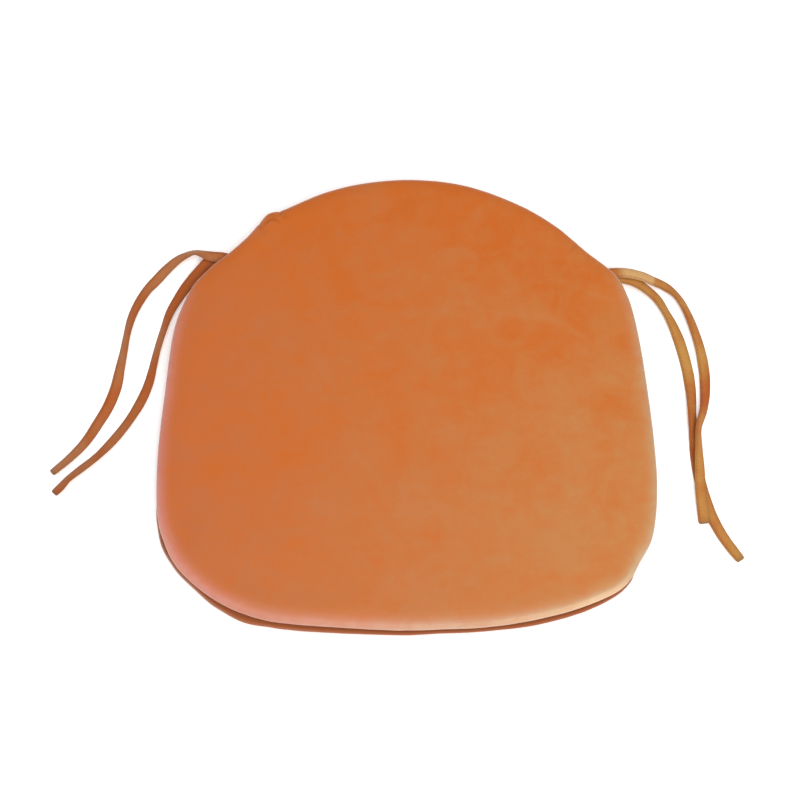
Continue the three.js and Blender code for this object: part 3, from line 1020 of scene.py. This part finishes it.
def strap_frames(route, sizes):
    """The strap's middle points, the ways along, aside and up from it, and the length run."""
    rows = np.array(route, float)
    inward = unit(rows[0, :2] - rows[1, :2]) * TUCK
    halfway = rows[0, 2] + (SEWN_HEIGHT - rows[0, 2]) * 0.5
    rows = np.vstack([[*(rows[0, :2] + inward), halfway, rows[0, 3]], rows])
    steps = (len(rows) - 1) * STEPS_PER_ROW
    shares = np.linspace(0, 1, steps + 1)
    middles = smooth_through(rows[:, :3], shares)
    turns = np.radians(smooth_through(rows[:, 3:], shares)[:, 0])
    across = np.array(SECTION_ACROSS)
    heights = strap_height(across, sizes.thickness / 2)
    leaning = np.abs(np.outer(np.sin(turns), across * sizes.width / 2))
    middles[:, 2] += (leaning + np.outer(np.cos(turns), heights)).max(axis=1)
    ahead = np.vstack([middles[1:], middles[-1:]])
    behind = np.vstack([middles[:1], middles[:-1]])
    along = unit(ahead - behind)
    side = unit(np.column_stack([-along[:, 1], along[:, 0], np.zeros(len(along))]))
    up = np.cross(along, side)
    c, s = np.cos(turns)[:, None], np.sin(turns)[:, None]
    side, up = side * c + up * s, up * c - side * s
    return middles, along, side, up, run_along(middles)


def make_tie(name, route, sizes, finish, thread, tree):
    laid, highlight_from, highlight_to = TIE_NAPS[name]
    middles, along, side, up, run = strap_frames(route, sizes)
    seed = float(sum(map(ord, name)) % 97)
    wobble = np.array([[noise.noise(Vector((s * k, seed, k))) for k in (45, 160, 70)] for s in run])
    half, thick = sizes.width / 2, sizes.thickness / 2
    top = np.array(SECTION_ACROSS)
    ring_across = np.concatenate([top, -top[1:-1]])
    ring_up = np.concatenate([strap_height(top, thick), -strap_height(-top[1:-1], thick)])
    stitched = np.sign(ring_up) * bell(ring_across - STITCH_LINE, 0.2)
    ring_edge = climb(np.abs(ring_across), 0.3, 1) ** 1.3
    end = run[-1]
    stations = [(k, 0.0, 1.0, 1.0) for k in range(len(run)) if end - run[k] > TIP_ROUNDING]
    stations += [(len(run) - 1, *corner) for corner in ROUNDED_TIP]
    rings, tips, path = [], [], []
    for k, on, wide, high in stations:
        puff, spread, stray = 1 + 0.10 * wobble[k, 0], 1 + 0.025 * wobble[k, 1], wobble[k, 2]
        across = ring_across * half * spread * wide + 0.00015 * stray
        crimp = CRIMP * math.sin(run[k] / sizes.stitch_pitch * 2 * math.pi)
        lift = ring_up * puff * high + crimp * stitched
        middle = middles[k] + along[k] * on
        rings.append(middle + side[k] * across[:, None] + up[k] * lift[:, None])
        tips.append(math.exp(-max(0, end - run[k] - on) / TIP_SHADE_REACH))
        path.append(middle)
    skin, faces = closed_skin(rings, rings[0].mean(axis=0), rings[-1].mean(axis=0))
    strap = new_piece(name + "_strap", skin, faces, finish)
    count = len(ring_across)
    ways = np.append(np.repeat([run[k] for k, *_ in stations], count), (0, end))
    # Painted highlight between its start and end along the strap
    bare = (climb(ways, highlight_from, highlight_from + HIGHLIGHT_FADES_IN)
            * climb(ways, highlight_to, highlight_to - HIGHLIGHT_FADES_OUT))
    set_values(strap, "edge", np.append(np.tile(ring_edge, len(rings)), (0, 0)))
    set_values(strap, "tip", np.append(np.repeat(tips, count), (0, 1)))
    set_values(strap, "laid", np.interp(ways, np.linspace(0, end, len(laid)), laid))
    set_values(strap, "bare", bare)
    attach(strap, "root")
    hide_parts(name)
    stitches = make_stitches(
        name + "_stitches", (middles, along, side, up, run), sizes, thread, tree)


def stitch_tree():
    """The graph that lays a stitch at every mark, turned along the strap and away from it."""
    tree = bpy.data.node_groups.new("strap_stitches", "GeometryNodeTree")
    for name, kind, way in (
            ("Marks", "NodeSocketGeometry", "INPUT"), ("Stitch Length", "NodeSocketFloat", "INPUT"),
            ("Thread Width", "NodeSocketFloat", "INPUT"), ("Seed", "NodeSocketInt", "INPUT"),
            ("Thread", "NodeSocketMaterial", "INPUT"),
            ("Stitches", "NodeSocketGeometry", "OUTPUT")):
        tree.interface.new_socket(name=name, in_out=way, socket_type=kind)
    graph = Graph(tree)
    given = graph.add("NodeGroupInput")
    ball = graph.add("GeometryNodeMeshUVSphere", {}, {"Segments": 8, "Rings": 5, "Radius": 0.5})
    size = graph.add("ShaderNodeCombineXYZ", {}, {
        "X": given.other("Stitch Length"), "Y": given.other("Thread Width"),
        "Z": given.other("Thread Width")})
    stitch = graph.add("GeometryNodeTransform", {}, {"Geometry": ball, "Scale": size})
    smooth = graph.add("GeometryNodeSetShadeSmooth", {}, {"Geometry": stitch})
    along, away = (
        graph.add("GeometryNodeInputNamedAttribute", {"data_type": "FLOAT_VECTOR"}, {"Name": name})
        for name in ("along", "away"))
    turned = graph.add("FunctionNodeAlignRotationToVector", {"axis": "X"}, {"Vector": along})
    turned = graph.add("FunctionNodeAlignRotationToVector", {"axis": "Z", "pivot_axis": "X"}, {
        "Rotation": turned, "Vector": away})
    slant = graph.add("FunctionNodeRandomValue", {"data_type": "FLOAT"}, {
        2: -0.09, 3: 0.09, "Seed": given.other("Seed")})
    slant = Wire(graph, slant.socket.node.outputs[1])
    turn = graph.add("FunctionNodeAxisAngleToRotation", {}, {"Axis": (0, 0, 1), "Angle": slant})
    turned = graph.add("FunctionNodeRotateRotation", {"rotation_space": "LOCAL"}, {
        "Rotation": turned, "Rotate By": turn})
    laid = graph.add("GeometryNodeInstanceOnPoints", {}, {
        "Points": given, "Instance": smooth, "Rotation": turned})
    real = graph.add("GeometryNodeRealizeInstances", {}, {"Geometry": laid})
    done = graph.add("GeometryNodeSetMaterial", {}, {
        "Geometry": real, "Material": given.other("Thread")})
    graph.add("NodeGroupOutput", {}, {"Stitches": done})
    return tree


def make_stitches(name, frames, sizes, thread, tree):
    """A row of stitches on each face of a strap, sunk into the line that they press in it."""
    middles, along, side, up, run = frames
    count = int((run[-1] - TUCK - 2 * UNSEWN) / sizes.stitch_pitch)
    stops = TUCK + UNSEWN + (np.arange(count) + 0.5) * sizes.stitch_pitch

    def at(values):
        return np.column_stack([np.interp(stops, run, values[:, k]) for k in range(3)])

    out = strap_height(STITCH_LINE, sizes.thickness / 2) + sizes.thread_width * 0.15
    line = at(middles) + at(side) * STITCH_LINE * sizes.width / 2
    upward = unit(at(up))
    marks = np.vstack([line + upward * out, line - upward * out])
    ways = np.vstack([at(along), at(along)])
    away = np.vstack([upward, -upward])
    mesh = bare_mesh(name + "_marks", marks)
    for label, values in (("along", ways), ("away", away)):
        mesh.attributes.new(label, "FLOAT_VECTOR", "POINT").data.foreach_set(
            "vector", np.asarray(values, np.float32).ravel())
    holder = put_in_scene(name, mesh)
    sewing = holder.modifiers.new("sewing", "NODES")
    sewing.node_group = tree
    values = {"Stitch Length": sizes.stitch_length, "Thread Width": sizes.thread_width,
              "Seed": 7, "Thread": thread}
    for socket in tree.interface.items_tree:
        if socket.name in values:
            sewing[socket.identifier] = values[socket.name]
    bpy.context.view_layer.update()
    made = bpy.data.meshes.new_from_object(evaluated(holder))
    holder.modifiers.clear()
    holder.data = made
    made.name = name
    bpy.data.meshes.remove(mesh)
    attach(holder, "root")
    return holder


def add_light(name, place, aim, size, power, colour):
    """A soft square light aimed at a point."""
    lamp = bpy.data.lights.new(name, "AREA")
    lamp.shape = "SQUARE"
    lamp.size = size
    lamp.energy = power
    lamp.color = colour
    light = put_in_scene(name, lamp)
    light.location = place
    light.rotation_euler = (Vector(aim) - Vector(place)).to_track_quat("-Z", "Y").to_euler()


def make_camera():
    back = Vector((0, -math.cos(VIEW_ELEVATION), math.sin(VIEW_ELEVATION)))
    lens = bpy.data.cameras.new("camera")
    lens.lens = VIEW_LENS_MM
    lens.sensor_width = 36
    camera = put_in_scene("camera", lens)
    camera.location = VIEW_AIM + back * VIEW_DISTANCE
    camera.rotation_euler = (-back).to_track_quat("-Z", "Y").to_euler()
    bpy.context.scene.camera = camera


def make_floor(glow):
    corners = [(x * FLOOR_HALF, y * FLOOR_HALF, FLOOR_HEIGHT)
               for x, y in ((-1, -1), (1, -1), (1, 1), (-1, 1))]
    new_piece("studio_floor", corners, [(0, 1, 2, 3)], floor_finish(glow))


def light_surround(strength):
    world = bpy.data.worlds.new("surround")
    world.use_nodes = True
    world.node_tree.nodes.clear()
    graph = Graph(world.node_tree)
    glow = graph.add("ShaderNodeBackground", {}, {"Color": (1, 1, 1, 1), "Strength": strength})
    graph.add("ShaderNodeOutputWorld", {}, {"Surface": glow})
    bpy.context.scene.world = world


class CHAIRPAD_OT_stage(bpy.types.Operator):
    """Set up the camera, the floor and the studio lights"""

    bl_idname = "chairpad.stage"
    bl_label = "Set the Stage"

    def execute(self, context):
        stage = context.scene.chair_pad_stage
        make_camera()
        make_floor(stage.floor_glow)
        light_surround(stage.surround)
        add_light("top_light", (0, 0, 2.2), (0, 0, 0), 1.0, stage.top, (1.0, 1.0, 1.0))
        add_light("key_light", (0.6, -1.4, 2.3), (0, 0, 0), 1.2, stage.key, (1.0, 0.98, 0.95))
        context.scene.view_settings.view_transform = "Standard"
        context.scene.view_settings.look = "None"
        return {"FINISHED"}


class CHAIRPAD_OT_ties(bpy.types.Operator):
    """Lay the four straps along their routes and sew a row of stitches along each"""

    bl_idname = "chairpad.ties"
    bl_label = "Lay the Ties"

    def execute(self, context):
        sizes, colours = context.scene.chair_pad_tie, context.scene.chair_pad_velvet
        finish, thread, tree = tie_finish(colours), thread_finish(colours), stitch_tree()
        for name, route in TIE_ROUTES.items():
            make_tie(name, route, sizes, finish, thread, tree)
        return {"FINISHED"}


class CHAIRPAD_OT_pad(bpy.types.Operator):
    """Fill the cover, sew its seam and press in the folds of its pucker"""

    bl_idname = "chairpad.pad"
    bl_label = "Fill the Pad"

    def execute(self, context):
        make_pad(context.scene.chair_pad_body, velvet_finish(context.scene.chair_pad_velvet))
        return {"FINISHED"}


class CHAIRPAD_PT_panel(bpy.types.Panel):
    """The steps that make the chair pad"""

    bl_idname = "CHAIRPAD_PT_panel"
    bl_label = "Chair Pad"
    bl_space_type = "VIEW_3D"
    bl_region_type = "UI"
    bl_category = "Chair Pad"

    def draw(self, context):
        for step in STEPS:
            self.layout.operator(step.bl_idname)


STEPS = (CHAIRPAD_OT_stage, CHAIRPAD_OT_ties, CHAIRPAD_OT_pad)
SETTINGS = {
    "chair_pad_body": PadSettings,
    "chair_pad_tie": TieSettings,
    "chair_pad_velvet": VelvetSettings,
    "chair_pad_stage": StageSettings,
}


def register():
    for kind in (*SETTINGS.values(), *STEPS, CHAIRPAD_PT_panel):
        bpy.utils.register_class(kind)
    for name, kind in SETTINGS.items():
        setattr(bpy.types.Scene, name, bpy.props.PointerProperty(type=kind))


def unregister():
    for name in SETTINGS:
        delattr(bpy.types.Scene, name)
    for kind in (CHAIRPAD_PT_panel, *reversed(STEPS), *SETTINGS.values()):
        bpy.utils.unregister_class(kind)


def main():
    register()
    bpy.ops.chairpad.stage()
    bpy.ops.chairpad.ties()
    bpy.ops.chairpad.pad()
    bpy.context.view_layer.update()


if __name__ == "__main__":
    main()
